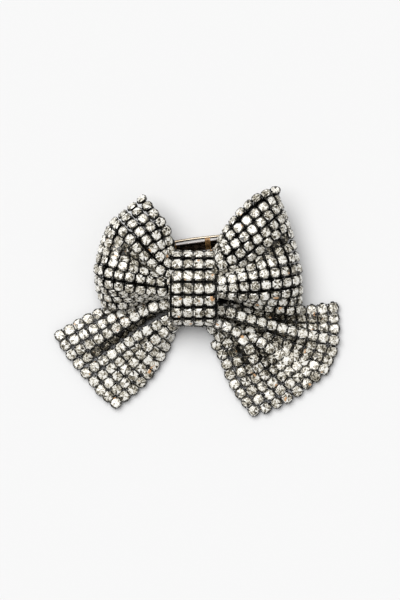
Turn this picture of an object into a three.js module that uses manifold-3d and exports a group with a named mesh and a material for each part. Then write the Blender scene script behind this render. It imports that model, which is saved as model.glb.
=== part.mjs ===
// A bow brooch of crystal mesh ribbon, lying on its back on a bar pin with a safety catch.
// Millimetres. +X runs along the bow, +Y towards the tops of its loops, +Z out of its face.
import * as THREE from 'three';
import * as BufferGeometryUtils from 'three/addons/utils/BufferGeometryUtils.js';
import Module from 'manifold-3d';

// Mesh ribbon: one sheet of claw cups with a stone in each.
const RIBBON = { thick: 2.2, along: 12, across: 14 };

// Knot: a short ribbon wrapped round the gathered middles of the other two.
const KNOT = {
  x: -0.8, y: 3.75, z: 9.0,
  width: 13.6, halfHeight: 12.05, halfDepth: 7.8, thick: 2.2, segments: 40,
};
const NECK = { overhang: 0.7, gap: 0.35, waist: 0.84, rim: 0.94, fullAt: 0.55 };
const GATHERING_THREAD = { radius: 0.25, gap: 0.3 };
const SEAM = { radius: 0.2, length: 3.4, gap: 0.25, angle: 248, spacing: 4.2 };

// Bar pin finding, in its own frame: x along the bar, y across it, z towards the garment.
const FINDING = { x: -0.8, y: 16.9, z: 5.1, tilt: 46, turn: 7.5 };
const BAR = { length: 32, width: 3.8, thick: 0.6, holeRadius: 0.65, holeX: 8.5, plainHalf: 3.4, weld: 1e-4 };
const JOINT = { x: -13, pivot: 2.8, inner: 1.8, wall: 0.5, length: 2.6, earLength: 2.08, base: 0.4, gap: 0.15 };
const RIVET = { radius: 0.4, clearance: 0.06, proud: 0.1, headRadius: 0.75, headTop: 0.525, headHeight: 0.35 };
const STEM = {
  radius: 0.45, eyeRadius: 1.0, eyeWidth: 1.3, intoEye: 0.6, bow: 0.5,
  pastCatch: 0.6, tip: 15.4, point: 2.6, pointRadius: 0.06, pointRoot: 0.44, pointDrop: 0.03,
};
const CATCH = {
  x: 12.4, height: 3.0, outer: 2.3, inner: 1.75, length: 2.0, mouth: 1.7, foot: 1.6,
};
const ROTOR = {
  outer: 1.55, bore: 0.85, length: 3.4, mouth: 1.25,
  lever: 3.4, leverRoot: 1.1, leverTilt: 10, tab: 0.6, tabWidth: 1.1,
};
// Blocks and rods that only cut are this long, so that they pass right through.
const CUT = 6;
const BINDING = { radius: 0.2, halfAcross: 2.7, halfDeep: 0.85, xs: [-5.6, 4.6] };
const STITCH = { radius: 0.18, halfAcross: 1.2, halfDeep: 0.95 };

// Rows of the ribbons, from the upper selvage to the lower one. Each is [x, y, z] at a few
// places from the knot outwards, at the middle of the ribbon's thickness.
const LEFT_LOOP_FRONT = [
  [[-8.9, 16.6, 11.2], [-9.0, 21.5, 12.2], [-12.2, 26.8, 12.6], [-16.4, 31.4, 10.6]],
  [[-8.9, 13.2, 13.0], [-13.8, 17.0, 14.4], [-19.0, 22.6, 14.6], [-23.0, 26.9, 10.6]],
  [[-8.9, 8.6, 13.2], [-15.2, 13.0, 14.6], [-21.5, 19.6, 14.4], [-26.0, 23.6, 10.2]],
  [[-8.9, 7.1, 11.4], [-15.6, 9.4, 12.0], [-23.2, 14.4, 12.6], [-29.0, 17.6, 9.6]],
  [[-8.9, 5.9, 13.2], [-16.4, 6.8, 15.0], [-24.6, 8.6, 14.4], [-30.8, 9.6, 9.4]],
  [[-8.9, 3.2, 13.4], [-16.6, 3.6, 15.0], [-24.8, 4.6, 14.0], [-30.8, 5.0, 9.2]],
  [[-8.9, 1.6, 10.8], [-16.0, 1.3, 11.2], [-23.6, 1.2, 11.0], [-30.0, 2.0, 8.6]],
  [[-8.9, 0.9, 9.4], [-14.6, 0.4, 9.4], [-21.4, -0.6, 9.2], [-28.4, -1.4, 7.8]],
];
const LEFT_LOOP_BACK = [
  [[-8.9, 16.2, 8.5], [-9.6, 21.5, 8.9], [-12.6, 26.8, 8.6], [-16.4, 31.2, 7.6]],
  [[-8.9, 13.4, 8.6], [-14.6, 17.4, 8.9], [-19.6, 22.6, 8.4], [-23.2, 26.4, 7.4]],
  [[-8.9, 7.6, 7.8], [-15.6, 11.0, 8.2], [-23.0, 14.8, 7.4], [-29.2, 17.4, 6.4]],
  [[-8.9, 3.6, 7.4], [-16.4, 4.6, 7.0], [-24.4, 5.4, 6.2], [-30.9, 6.0, 5.8]],
  [[-8.9, 1.7, 6.8], [-14.8, 1.2, 6.4], [-21.4, 0.0, 5.8], [-28.6, -1.2, 5.1]],
];
const RIGHT_LOOP_FRONT = [
  [[7.3, 16.6, 11.0], [10.9, 24.2, 12.4], [16.6, 30.0, 12.8], [24.4, 34.2, 11.0]],
  [[7.3, 14.0, 13.0], [13.9, 18.9, 14.4], [19.4, 23.8, 14.8], [26.2, 29.6, 10.8]],
  [[7.3, 10.4, 13.4], [13.6, 14.2, 14.8], [21.2, 20.6, 14.6], [27.8, 25.6, 10.4]],
  [[7.3, 8.2, 11.4], [15.4, 11.6, 12.2], [23.6, 15.8, 12.6], [29.4, 19.8, 9.8]],
  [[7.3, 6.4, 13.2], [16.9, 7.8, 14.8], [25.2, 9.6, 14.4], [31.4, 11.4, 9.6]],
  [[7.3, 4.0, 13.4], [17.3, 4.5, 15.0], [25.4, 5.2, 14.6], [32.1, 6.2, 9.4]],
  [[7.3, 2.0, 12.0], [17.5, 1.2, 13.4], [25.6, 1.6, 13.2], [32.2, 1.8, 8.8]],
  [[7.3, 1.2, 9.6], [16.6, -0.8, 9.8], [24.6, -2.6, 9.8], [31.6, -2.9, 8.0]],
];
const RIGHT_LOOP_BACK = [
  [[7.3, 16.2, 8.6], [11.4, 23.8, 9.0], [17.0, 29.4, 8.8], [24.2, 33.4, 8.0]],
  [[7.3, 13.6, 8.7], [14.2, 18.8, 9.1], [20.4, 24.0, 8.6], [26.4, 28.6, 7.6]],
  [[7.3, 8.0, 7.8], [15.6, 11.8, 8.2], [23.6, 16.0, 7.4], [29.6, 19.6, 6.6]],
  [[7.3, 4.0, 7.4], [17.0, 4.8, 7.0], [25.2, 5.6, 6.2], [32.2, 6.4, 5.8]],
  [[7.3, 1.8, 6.8], [16.4, -0.4, 6.2], [24.2, -2.2, 5.8], [31.4, -2.7, 5.2]],
];
const LEFT_TAIL = [
  [[-8.9, -1.3, 3.9], [-16.0, -1.2, 3.2], [-24.0, -2.6, 2.6], [-33.0, -5.4, 2.0], [-44.6, -10.8, 1.2]],
  [[-8.9, -2.4, 5.6], [-16.2, -3.4, 5.2], [-24.4, -8.0, 4.4], [-32.0, -12.8, 2.8], [-40.2, -17.0, 1.2]],
  [[-8.9, -4.0, 4.0], [-15.4, -6.2, 3.6], [-22.0, -10.6, 2.8], [-29.4, -15.4, 2.0], [-37.6, -20.4, 1.1]],
  [[-8.9, -6.4, 4.8], [-14.4, -8.8, 4.6], [-20.6, -13.4, 3.6], [-27.4, -19.0, 2.4], [-34.4, -24.2, 1.1]],
  [[-8.9, -7.9, 3.4], [-12.6, -12.6, 2.8], [-17.4, -18.0, 2.2], [-23.2, -23.6, 1.6], [-30.0, -29.2, 1.1]],
  [[-8.9, -9.2, 2.4], [-10.6, -15.4, 1.8], [-14.0, -21.6, 1.5], [-19.0, -27.6, 1.2], [-25.3, -33.1, 1.1]],
];
const RIGHT_TAIL = [
  [[7.3, -1.5, 3.9], [15.4, -2.6, 3.0], [24.4, -4.9, 2.4], [33.6, -4.2, 1.8], [43.0, -1.2, 1.2]],
  [[7.3, -3.0, 5.8], [15.6, -4.6, 5.4], [24.6, -8.0, 4.4], [33.8, -10.0, 2.8], [44.9, -11.8, 1.2]],
  [[7.3, -4.4, 3.9], [15.0, -8.4, 3.4], [23.2, -13.2, 2.8], [32.2, -17.6, 2.0], [41.9, -21.2, 1.1]],
  [[7.3, -5.7, 3.8], [13.8, -10.6, 3.4], [20.6, -16.8, 2.8], [28.2, -23.2, 1.8], [35.6, -28.2, 1.1]],
  [[7.3, -6.8, 4.8], [11.9, -12.6, 4.2], [16.8, -19.6, 3.0], [22.0, -26.8, 1.8], [27.2, -32.8, 1.1]],
  [[5.4, -8.9, 2.6], [6.6, -15.8, 2.0], [9.0, -22.6, 1.6], [13.4, -29.2, 1.3], [18.8, -35.4, 1.1]],
];

const wasm = await Module();
wasm.setup();

const CRYSTAL = { color: 0xd9d7cc, roughness: 0.12, metalness: 0.2 };
const DARK_CUPS = { color: 0x24221f, roughness: 0.35, metalness: 0.9 };
const NICKEL = { color: 0xb9aca4, roughness: 0.18, metalness: 1.0 };
const BRASS = { color: 0x8f6a35, roughness: 0.3, metalness: 1.0 };
const THREAD = { color: 0x16151a, roughness: 0.9, metalness: 0.0 };

function named(name, geometry, look) {
  const mesh = new THREE.Mesh(geometry, new THREE.MeshStandardMaterial(look));
  mesh.name = name;
  return mesh;
}

function toSolid(geometry) {
  const bare = geometry.clone();
  bare.deleteAttribute('normal');
  bare.deleteAttribute('uv');
  const merged = BufferGeometryUtils.mergeVertices(bare, 1e-4);
  const vertProperties = new Float32Array(merged.attributes.position.array);
  const triVerts = new Uint32Array(merged.index.array);
  return new wasm.Manifold(new wasm.Mesh({ numProp: 3, vertProperties, triVerts }));
}

function fromSolid(solid) {
  const mesh = solid.getMesh();
  const geometry = new THREE.BufferGeometry();
  geometry.setAttribute('position', new THREE.BufferAttribute(new Float32Array(mesh.vertProperties), 3));
  geometry.setIndex(new THREE.BufferAttribute(new Uint32Array(mesh.triVerts), 1));
  return geometry;
}

// A cylinder lying along the X or the Y axis, centred at a point.
function rod(axis, radius, length, at, segments = 28) {
  const geometry = new THREE.CylinderGeometry(radius, radius, length, segments);
  if (axis === 'x') geometry.rotateZ(Math.PI / 2);
  return geometry.translate(at[0], at[1], at[2]);
}

function block(size, at) {
  return new THREE.BoxGeometry(size[0], size[1], size[2]).translate(at[0], at[1], at[2]);
}

function spline(points) {
  return new THREE.CatmullRomCurve3(points, false, 'centripetal');
}

// Points on the smooth surface through a few rows, as columns that each run across all the rows.
function ribbonGrid(rows) {
  const along = rows.map((row) => spline(row.map((p) => new THREE.Vector3(...p))).getPoints(RIBBON.along));
  const columns = [];
  for (let i = 0; i <= RIBBON.along; i += 1) {
    columns.push(spline(along.map((row) => row[i])).getPoints(RIBBON.across));
  }
  return columns;
}

// A ribbon panel as a closed sheet with its thickness measured up and down.
function ribbonPanel(rows) {
  const grid = ribbonGrid(rows);
  const across = RIBBON.across + 1;
  const count = grid.length * across;
  const positions = [];
  for (const side of [1, -1]) {
    for (const column of grid) {
      for (const p of column) {
        positions.push(p.x, p.y, p.z + (side * RIBBON.thick) / 2);
      }
    }
  }
  const index = [];
  const quad = (a, b, c, d) => index.push(a, b, c, a, c, d);
  const at = (i, j) => i * across + j;
  for (let i = 0; i < grid.length - 1; i += 1) {
    for (let j = 0; j < RIBBON.across; j += 1) {
      quad(at(i, j), at(i + 1, j), at(i + 1, j + 1), at(i, j + 1));
      quad(count + at(i, j), count + at(i, j + 1), count + at(i + 1, j + 1), count + at(i + 1, j));
    }
  }
  const wall = (a, b) => quad(a, b, count + b, count + a);
  for (let i = 0; i < grid.length - 1; i += 1) {
    wall(at(i + 1, 0), at(i, 0));
    wall(at(i, RIBBON.across), at(i + 1, RIBBON.across));
  }
  for (let j = 0; j < RIBBON.across; j += 1) {
    wall(at(0, j), at(0, j + 1));
    wall(at(grid.length - 1, j + 1), at(grid.length - 1, j));
  }
  const geometry = new THREE.BufferGeometry();
  geometry.setAttribute('position', new THREE.BufferAttribute(new Float32Array(positions), 3));
  geometry.setIndex(index);
  return geometry;
}

// Turns a panel's faces the other way, for one whose rows run outwards to the right.
function flipped(geometry) {
  const index = geometry.index.array;
  for (let i = 0; i < index.length; i += 3) {
    const kept = index[i];
    index[i] = index[i + 1];
    index[i + 1] = kept;
  }
  return geometry;
}

function ellipsePath(halfAcross, halfUp) {
  return new THREE.Path().absellipse(0, 0, halfAcross, halfUp, 0, Math.PI * 2, false, 0);
}

// The knot's ribbon: a band round the X axis with open ends.
function knotWrap() {
  const shape = new THREE.Shape();
  shape.absellipse(0, 0, KNOT.halfHeight, KNOT.halfDepth, 0, Math.PI * 2, false, 0);
  shape.holes.push(ellipsePath(KNOT.halfHeight - KNOT.thick, KNOT.halfDepth - KNOT.thick));
  const band = new THREE.ExtrudeGeometry(shape, {
    depth: KNOT.width, bevelEnabled: false, curveSegments: KNOT.segments,
  });
  band.translate(0, 0, -KNOT.width / 2);
  band.rotateX(Math.PI / 2);
  band.rotateZ(Math.PI / 2);
  return named('knot_wrap', band.translate(KNOT.x, KNOT.y, KNOT.z), CRYSTAL);
}

// The gathered middles of the loop and tail ribbons, waisted where the thread pulls them in.
function gatheredNeck() {
  const half = KNOT.width / 2 + NECK.overhang;
  const reach = KNOT.halfDepth - KNOT.thick - NECK.gap;
  const full = half * NECK.fullAt;
  const outline = [[0, -half], [NECK.rim, -half], [1, -full], [NECK.waist, 0]];
  outline.push([1, full], [NECK.rim, half], [0, half]);
  const neck = new THREE.LatheGeometry(outline.map(([r, x]) => new THREE.Vector2(r * reach, x)), KNOT.segments);
  neck.rotateZ(-Math.PI / 2);
  neck.scale(1, (KNOT.halfHeight - KNOT.thick - NECK.gap) / reach, 1);
  return named('gathered_neck', neck.translate(KNOT.x, KNOT.y, KNOT.z), DARK_CUPS);
}

// A closed ring of round wire in the YZ plane, drawn out to an ellipse with the wire kept round.
function ellipticRing(halfY, halfZ, radius, segments) {
  const ring = new THREE.TorusGeometry(1, radius, 10, segments);
  const position = ring.attributes.position;
  for (let i = 0; i < position.count; i += 1) {
    const angle = Math.atan2(position.getY(i), position.getX(i));
    const y = position.getX(i) + (halfY - 1) * Math.cos(angle);
    const z = position.getY(i) + (halfZ - 1) * Math.sin(angle);
    position.setXYZ(i, position.getZ(i), y, z);
  }
  return ring;
}

// The thread round the neck's waist.
function gatheringThread() {
  const inset = KNOT.thick + NECK.gap + GATHERING_THREAD.gap;
  const { radius } = GATHERING_THREAD;
  const ring = ellipticRing(KNOT.halfHeight - inset, KNOT.halfDepth - inset, radius, KNOT.segments);
  return named('gathering_thread', ring.translate(KNOT.x, KNOT.y, KNOT.z), THREAD);
}

// One stitch of the seam that closes the knot's ribbon at the back.
function seamStitch(number) {
  const angle = THREE.MathUtils.degToRad(SEAM.angle);
  const out = SEAM.gap + SEAM.radius;
  const y = (KNOT.halfHeight + out) * Math.cos(angle);
  const z = (KNOT.halfDepth + out) * Math.sin(angle);
  const slope = Math.atan2(KNOT.halfDepth * Math.cos(angle), -KNOT.halfHeight * Math.sin(angle));
  const stitch = rod('y', SEAM.radius, SEAM.length, [0, 0, 0], 12).rotateX(slope);
  const x = KNOT.x + (number - 2) * SEAM.spacing;
  return named(`seam_stitch_${number}`, stitch.translate(x, KNOT.y + y, KNOT.z + z), THREAD);
}

// One round end of the bar with its sewing hole, out to where the plain middle starts.
function barEnd(side) {
  const half = BAR.length / 2 - BAR.width / 2;
  const round = BAR.width / 2;
  const shape = new THREE.Shape();
  shape.moveTo(BAR.plainHalf, round);
  shape.lineTo(BAR.plainHalf, -round);
  shape.absarc(half, 0, round, -Math.PI / 2, Math.PI / 2, false);
  shape.holes.push(new THREE.Path().absarc(BAR.holeX, 0, BAR.holeRadius, 0, Math.PI * 2, false));
  const end = new THREE.ExtrudeGeometry(shape, { depth: BAR.thick, bevelEnabled: false, curveSegments: 14 });
  return end.rotateZ(side > 0 ? 0 : Math.PI).translate(0, 0, -BAR.thick / 2);
}

// Drops the walls where the bar's lengths meet, so that they share one closed surface.
function withoutInnerWalls(geometry) {
  const flat = geometry.index ? geometry.toNonIndexed() : geometry;
  const source = flat.attributes.position;
  const kept = [];
  for (let corner = 0; corner < source.count; corner += 3) {
    const triangle = [corner, corner + 1, corner + 2];
    const wall = Math.sign(source.getX(corner)) * BAR.plainHalf;
    const onWall = triangle.every((i) => Math.abs(source.getX(i) - wall) < BAR.weld);
    if (!onWall) triangle.forEach((i) => kept.push(source.getX(i), source.getY(i), source.getZ(i)));
  }
  const open = new THREE.BufferGeometry();
  open.setAttribute('position', new THREE.Float32BufferAttribute(kept, 3));
  return open;
}

// The flat bar: two round ends with sewing holes and one plain flat between the binding wires.
function pinBar() {
  const middle = block([BAR.plainHalf * 2, BAR.width, BAR.thick], [0, 0, 0]);
  const lengths = [barEnd(-1), middle, barEnd(1)].map(withoutInnerWalls);
  const bar = BufferGeometryUtils.mergeVertices(BufferGeometryUtils.mergeGeometries(lengths), BAR.weld);
  return named('pin_bar', bar, NICKEL);
}

// The U-shaped joint whose two ears hold the rivet.
function pinJoint() {
  const foot = BAR.thick / 2 + JOINT.gap;
  const across = JOINT.inner + 2 * JOINT.wall;
  let solid = toSolid(block([JOINT.length, across, JOINT.base], [JOINT.x, 0, foot + JOINT.base / 2]));
  for (const side of [-1, 1]) {
    const y = side * (JOINT.inner + JOINT.wall) / 2;
    const rise = JOINT.pivot - foot;
    solid = solid.add(toSolid(block([JOINT.earLength, JOINT.wall, rise], [JOINT.x, y, foot + rise / 2])));
    solid = solid.add(toSolid(rod('y', JOINT.earLength / 2, JOINT.wall, [JOINT.x, y, JOINT.pivot])));
  }
  const bore = rod('y', RIVET.radius + RIVET.clearance, CUT, [JOINT.x, 0, JOINT.pivot]);
  return named('pin_joint', fromSolid(solid.subtract(toSolid(bore))), NICKEL);
}

// The rivet: a plain shank with a coned head at both ends.
function jointRivet() {
  const half = JOINT.inner / 2 + JOINT.wall + RIVET.proud;
  const end = half + RIVET.headHeight;
  const outline = [[0, -end], [RIVET.headTop, -end], [RIVET.headRadius, -half], [RIVET.radius, -half]];
  outline.push([RIVET.radius, half], [RIVET.headRadius, half], [RIVET.headTop, end], [0, end]);
  const rivet = new THREE.LatheGeometry(outline.map(([r, y]) => new THREE.Vector2(r, y)), 24);
  return named('joint_rivet', rivet.translate(JOINT.x, 0, JOINT.pivot), NICKEL);
}

// The pin: an eye on the rivet, a slightly bowed wire and a long point.
function pinStem() {
  const start = new THREE.Vector3(JOINT.x + STEM.intoEye, 0, JOINT.pivot);
  const middle = new THREE.Vector3(0, 0, (JOINT.pivot + CATCH.height) / 2 + STEM.bow);
  const end = new THREE.Vector3(CATCH.x + STEM.pastCatch, 0, CATCH.height);
  const section = new THREE.Shape();
  section.absarc(0, 0, STEM.radius, 0, Math.PI * 2, false);
  const wire = new THREE.ExtrudeGeometry(section, {
    extrudePath: spline([start, middle, end]), steps: 24, curveSegments: 8, bevelEnabled: false,
  });
  const point = new THREE.CylinderGeometry(STEM.pointRadius, STEM.pointRoot, STEM.point, 16);
  point.rotateZ(-Math.PI / 2);
  point.translate(STEM.tip - STEM.point / 2, 0, CATCH.height - STEM.pointDrop);
  const eye = toSolid(rod('y', STEM.eyeRadius, STEM.eyeWidth, [JOINT.x, 0, JOINT.pivot]));
  const bore = toSolid(rod('y', RIVET.radius + RIVET.clearance, CUT, [JOINT.x, 0, JOINT.pivot]));
  const solid = toSolid(wire).add(toSolid(point)).add(eye).subtract(bore);
  return named('pin_stem', fromSolid(solid), NICKEL);
}

// The catch's fixed cup: a short tube with a mouth that faces the garment.
function catchHousing() {
  const at = [CATCH.x, 0, CATCH.height];
  const foot = BAR.thick / 2 + JOINT.gap;
  const rise = CATCH.height - foot;
  const tube = toSolid(rod('x', CATCH.outer, CATCH.length, at, 36));
  const pad = toSolid(block([CATCH.length, CATCH.foot * 2, rise], [CATCH.x, 0, foot + rise / 2]));
  const under = toSolid(block([CUT, CUT, CUT], [CATCH.x, 0, foot - CUT / 2]));
  const bore = toSolid(rod('x', CATCH.inner, CUT, at, 36));
  const mouth = toSolid(block([CUT, CATCH.mouth, CUT], [CATCH.x, 0, CATCH.height + CUT / 2]));
  const solid = tube.add(pad).subtract(under).subtract(bore).subtract(mouth);
  return named('catch_housing', fromSolid(solid), NICKEL);
}

// The rotor that turns in the cup to shut its mouth, with a tab to turn it by.
function catchRotor() {
  const at = [CATCH.x, 0, CATCH.height];
  const barrel = toSolid(rod('x', ROTOR.outer, ROTOR.length, at, 36));
  const tabX = CATCH.x + ROTOR.length / 2 - ROTOR.tab / 2;
  const reach = ROTOR.lever - ROTOR.leverRoot;
  const tab = block([ROTOR.tab, reach, ROTOR.tabWidth], [0, ROTOR.leverRoot + reach / 2, 0]);
  tab.rotateX(THREE.MathUtils.degToRad(ROTOR.leverTilt));
  tab.translate(tabX, 0, CATCH.height);
  const bore = toSolid(rod('x', ROTOR.bore, CUT, at, 28));
  const mouth = toSolid(block([CUT, ROTOR.mouth, CUT], [CATCH.x, 0, CATCH.height + CUT / 2]));
  const solid = barrel.add(toSolid(tab)).subtract(bore).subtract(mouth);
  return named('catch_rotor', fromSolid(solid), NICKEL);
}

// The bar pin with what ties and sews it on, tilted so that it shows past the knot's top.
function finding() {
  const parts = new THREE.Group();
  parts.add(pinBar(), pinJoint(), jointRivet(), pinStem(), catchHousing(), catchRotor());
  ['left', 'right'].forEach((side, i) => {
    const wire = ellipticRing(BINDING.halfAcross, BINDING.halfDeep, BINDING.radius, 24);
    parts.add(named(`binding_wire_${side}`, wire.translate(BINDING.xs[i], 0, 0), BRASS));
    const thread = ellipticRing(STITCH.halfAcross, STITCH.halfDeep, STITCH.radius, 20);
    const x = (i * 2 - 1) * BAR.holeX;
    parts.add(named(`bar_stitch_${side}`, thread.translate(x, STITCH.halfAcross, 0), THREAD));
  });
  parts.rotation.x = Math.PI + THREE.MathUtils.degToRad(FINDING.tilt);
  const placed = new THREE.Group();
  placed.add(parts);
  placed.rotation.z = THREE.MathUtils.degToRad(FINDING.turn);
  placed.position.set(FINDING.x, FINDING.y, FINDING.z);
  return placed;
}

function bow() {
  const group = new THREE.Group();
  group.add(named('left_loop_front', ribbonPanel(LEFT_LOOP_FRONT), CRYSTAL));
  group.add(named('left_loop_back', ribbonPanel(LEFT_LOOP_BACK), CRYSTAL));
  group.add(named('left_tail', ribbonPanel(LEFT_TAIL), CRYSTAL));
  group.add(named('right_loop_front', flipped(ribbonPanel(RIGHT_LOOP_FRONT)), CRYSTAL));
  group.add(named('right_loop_back', flipped(ribbonPanel(RIGHT_LOOP_BACK)), CRYSTAL));
  group.add(named('right_tail', flipped(ribbonPanel(RIGHT_TAIL)), CRYSTAL));
  group.add(knotWrap(), gatheredNeck(), gatheringThread());
  for (const number of [1, 2, 3]) {
    group.add(seamStitch(number));
  }
  return group;
}

// Stands the whole brooch on the ground, with its box centred over the origin.
function standing(group) {
  const box = new THREE.Box3().setFromObject(group, true);
  const centre = box.getCenter(new THREE.Vector3());
  group.position.set(-centre.x, -centre.y, -box.min.z);
  return group;
}

const brooch = new THREE.Group();
brooch.add(bow(), finding());

export default standing(brooch);
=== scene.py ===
"""Bow brooch of crystal mesh ribbon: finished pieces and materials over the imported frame."""

import logging
import math
from dataclasses import dataclass, field
from enum import Enum

import bmesh
import bpy
import numpy as np
from mathutils import Matrix, Vector


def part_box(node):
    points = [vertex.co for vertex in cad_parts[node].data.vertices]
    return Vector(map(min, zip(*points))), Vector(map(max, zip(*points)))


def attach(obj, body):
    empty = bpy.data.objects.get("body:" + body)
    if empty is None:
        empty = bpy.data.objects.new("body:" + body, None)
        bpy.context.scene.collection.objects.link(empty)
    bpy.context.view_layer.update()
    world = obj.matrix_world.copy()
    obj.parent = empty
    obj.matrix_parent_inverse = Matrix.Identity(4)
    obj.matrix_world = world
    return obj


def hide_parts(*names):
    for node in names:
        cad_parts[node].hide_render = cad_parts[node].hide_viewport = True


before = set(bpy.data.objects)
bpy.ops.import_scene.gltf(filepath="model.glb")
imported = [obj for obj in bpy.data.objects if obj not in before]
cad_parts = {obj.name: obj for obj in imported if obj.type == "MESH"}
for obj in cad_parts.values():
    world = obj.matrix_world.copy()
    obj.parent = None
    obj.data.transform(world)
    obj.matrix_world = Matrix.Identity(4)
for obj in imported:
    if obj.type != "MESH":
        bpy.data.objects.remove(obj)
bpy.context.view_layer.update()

LOG = logging.getLogger("brooch")
MM = 0.001
Point = tuple[float, float, float]
Colour = tuple[float, float, float]
Curl = tuple[int, float, Point]

# A Mix node's colour sockets by number, because its sockets of other kinds share their names.
FIRST_COLOUR, SECOND_COLOUR, MIXED_COLOUR = 6, 7, 2


# ---------------------------------------------------------------------------------------
# Finishes
# ---------------------------------------------------------------------------------------


class Nodes:
    """A short way to add and join the nodes of one material."""

    def __init__(self, name: str) -> None:
        """Makes the material with its surface shader.

        Args:
            name: the material's name.
        """
        self.material = bpy.data.materials.new(name)
        self.material.use_nodes = True
        self.tree = self.material.node_tree
        self.shader = self.tree.nodes["Principled BSDF"]

    def add(self, kind: str, **settings: object) -> bpy.types.Node:
        """Adds a node.

        Args:
            kind: the node's type name.
            settings: the node's own properties, or values of its inputs by name.

        Returns:
            The new node.
        """
        node = self.tree.nodes.new(kind)
        for key, value in settings.items():
            if hasattr(node, key):
                setattr(node, key, value)
            else:
                node.inputs[key.replace("_", " ")].default_value = value
        return node

    def join(self, source: bpy.types.NodeSocket, target: bpy.types.NodeSocket) -> None:
        """Joins an output to an input."""
        self.tree.links.new(source, target)

    def surface(self, **values: object) -> None:
        """Sets constants on the shader's own sockets."""
        for key, value in values.items():
            self.shader.inputs[key.replace("_", " ")].default_value = value

    def object_noise(self, scale: float, detail: float = 2.0) -> bpy.types.Node:
        """Adds a noise pattern that is fixed to the piece.

        Args:
            scale: the pattern's cycles per metre.
            detail: how many finer layers it has.

        Returns:
            The noise node.
        """
        place = self.add("ShaderNodeTexCoord")
        noise = self.add("ShaderNodeTexNoise", Scale=scale, Detail=detail)
        self.join(place.outputs["Object"], noise.inputs["Vector"])
        return noise

    def ramp(self, source: bpy.types.NodeSocket, stops: list[tuple[float, Colour]]) -> bpy.types.Node:
        """Adds a colour ramp.

        Args:
            source: the value that runs along the ramp.
            stops: each stop's place and colour.

        Returns:
            The ramp node.
        """
        node = self.add("ShaderNodeValToRGB")
        elements = node.color_ramp.elements
        while len(elements) < len(stops):
            elements.new(0.5)
        for element, (place, colour) in zip(elements, stops):
            element.position = place
            element.color = (*colour, 1.0)
        self.join(source, node.inputs["Fac"])
        return node

    def bump(self, source: bpy.types.NodeSocket, distance: float, strength: float = 0.5) -> None:
        """Raises the surface by a pattern.

        Args:
            source: the pattern's height.
            distance: the height of a value of 1, in metres.
            strength: how much of it shows.
        """
        node = self.add("ShaderNodeBump", Distance=distance, Strength=strength)
        self.join(source, node.inputs["Height"])
        self.join(node.outputs["Normal"], self.shader.inputs["Normal"])


@dataclass(frozen=True)
class FoiledCrystal:
    """Clear cut stones over a darkened foil, drawn as opaque facets: each facet's tone, its specks and a
    few warm glints are painted reflection.
    """

    name: str = "foiled_crystal"
    black: Colour = (0.008, 0.007, 0.005)
    olive: Colour = (0.098, 0.080, 0.046)
    grey: Colour = (0.34, 0.308, 0.236)
    pale: Colour = (0.70, 0.66, 0.565)
    white: Colour = (1.0, 0.985, 0.935)
    glint: Colour = (0.62, 0.36, 0.18)
    stops: tuple[float, ...] = (0.08, 0.28, 0.48, 0.72, 0.92)
    speck_scale: float = 2500.0
    speck_share: float = 2.2
    glint_scale: float = 520.0
    glint_from: float = 0.79
    glint_full: float = 0.83

    def make(self) -> bpy.types.Material:
        """Builds the material.

        Returns:
            The crystal material, which reads each facet's tone.
        """
        nodes = Nodes(self.name)
        # painted reflection: each facet's tone stands in for what it mirrors, from black to white
        tone = nodes.add("ShaderNodeAttribute", attribute_name="painted_facet_tone")
        # painted specks of reflection inside the facets
        specks = nodes.object_noise(self.speck_scale)
        centred = nodes.add("ShaderNodeMath", operation="MULTIPLY_ADD")
        centred.inputs[1].default_value = self.speck_share
        centred.inputs[2].default_value = -self.speck_share / 2
        nodes.join(specks.outputs["Fac"], centred.inputs[0])
        total = nodes.add("ShaderNodeMath", operation="ADD")
        nodes.join(tone.outputs["Fac"], total.inputs[0])
        nodes.join(centred.outputs["Value"], total.inputs[1])
        colours = (self.black, self.olive, self.grey, self.pale, self.white)
        ramp = nodes.ramp(total.outputs["Value"], list(zip(self.stops, colours)))
        # painted glints: a few warm spots stand in for flashes of colour from the stones
        spots = nodes.object_noise(self.glint_scale, 0.0)
        spot_stops = [(self.glint_from, (0, 0, 0)), (self.glint_full, (1, 1, 1))]
        warm = nodes.ramp(spots.outputs["Fac"], spot_stops)
        mix = nodes.add("ShaderNodeMix", data_type="RGBA")
        nodes.join(warm.outputs["Color"], mix.inputs["Factor"])
        nodes.join(ramp.outputs["Color"], mix.inputs[FIRST_COLOUR])
        mix.inputs[SECOND_COLOUR].default_value = (*self.glint, 1.0)
        nodes.join(mix.outputs[MIXED_COLOUR], nodes.shader.inputs["Base Color"])
        nodes.surface(Metallic=0.10, Roughness=0.26, Coat_Weight=0.22, Coat_Roughness=0.06, Coat_IOR=1.5)
        return nodes.material


@dataclass(frozen=True)
class BlackNickel:
    """Dark plated metal of the claw cups, a little worn in patches."""

    name: str = "black_nickel"
    deep: Colour = (0.002, 0.002, 0.0018)
    worn: Colour = (0.020, 0.019, 0.016)
    metallic: float = 0.6
    roughness: tuple[float, float] = (0.3, 0.55)
    specular: float = 0.25
    wear_scale: float = 420.0
    wear_detail: float = 3.0
    wear_from: float = 0.42
    wear_full: float = 0.72

    def make(self) -> bpy.types.Material:
        """Builds the material.

        Returns:
            The cups' material.
        """
        nodes = Nodes(self.name)
        wear = nodes.object_noise(self.wear_scale, self.wear_detail)
        ramp = nodes.ramp(wear.outputs["Fac"], [(self.wear_from, self.deep), (self.wear_full, self.worn)])
        nodes.join(ramp.outputs["Color"], nodes.shader.inputs["Base Color"])
        rough = nodes.add("ShaderNodeMapRange", To_Min=self.roughness[0], To_Max=self.roughness[1])
        nodes.join(wear.outputs["Fac"], rough.inputs["Value"])
        nodes.join(rough.outputs["Result"], nodes.shader.inputs["Roughness"])
        nodes.surface(Metallic=self.metallic, Specular_IOR_Level=self.specular)
        return nodes.material


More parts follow.
